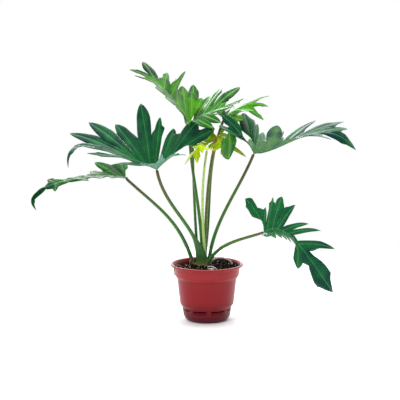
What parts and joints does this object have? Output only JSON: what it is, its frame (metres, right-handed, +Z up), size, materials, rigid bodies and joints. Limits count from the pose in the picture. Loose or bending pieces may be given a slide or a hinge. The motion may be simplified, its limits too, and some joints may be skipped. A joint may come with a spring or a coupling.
{
  "type": "potted lobed-leaf plant",
  "caption": "Young philodendron with deeply lobed, arching leaves on long stems in a round tapered nursery pot with a rolled rim.",
  "frame": {"origin": "centre of the pot's flat underside, on the surface it stands on", "axes": "+Z up along the pot's axis, -Y towards the side that shows the leaves as pictured, +X to that viewer's right"},
  "size_m": [0.6156, 0.2172, 0.4954],
  "materials": {
    "pot": "satin moulded plastic, red-brown",
    "soil": "loose dark potting mix with pale chips",
    "crown": "rough fibrous stem base",
    "root": "pale dry root and bark",
    "dry_husk": "papery dry brown scale",
    "stem": "smooth waxy green, brown towards the leaf",
    "stem_pale": "smooth waxy pale green",
    "leaf_dark": "glossy deep green, paler below",
    "leaf_bright": "glossy bright green, paler below",
    "leaf_young": "glossy yellow-green"
  },
  "bodies": {
    "root": {"pot": "pot", "soil": "soil", "crown": "crown", "bud_scale": "dry_husk", "aerial_root": "root", "second_root": "root", "bark_chip": "root", "dry_root": "dry_husk", "stem_low_left": "stem", "stem_left": "stem", "stem_top_left": "stem", "stem_top": "stem", "stem_upper_right": "stem", "stem_young_front": "stem_pale", "stem_young_back": "stem", "stem_right": "stem", "stem_low_right": "stem", "blade_low_left": "leaf_dark", "blade_left": "leaf_dark", "blade_top_left": "leaf_bright", "blade_top": "leaf_bright", "blade_upper_right": "leaf_bright", "blade_young_front": "leaf_young", "blade_young_back": "leaf_young", "blade_right": "leaf_dark", "blade_low_right": "leaf_dark"}
  },
  "joints": []
}
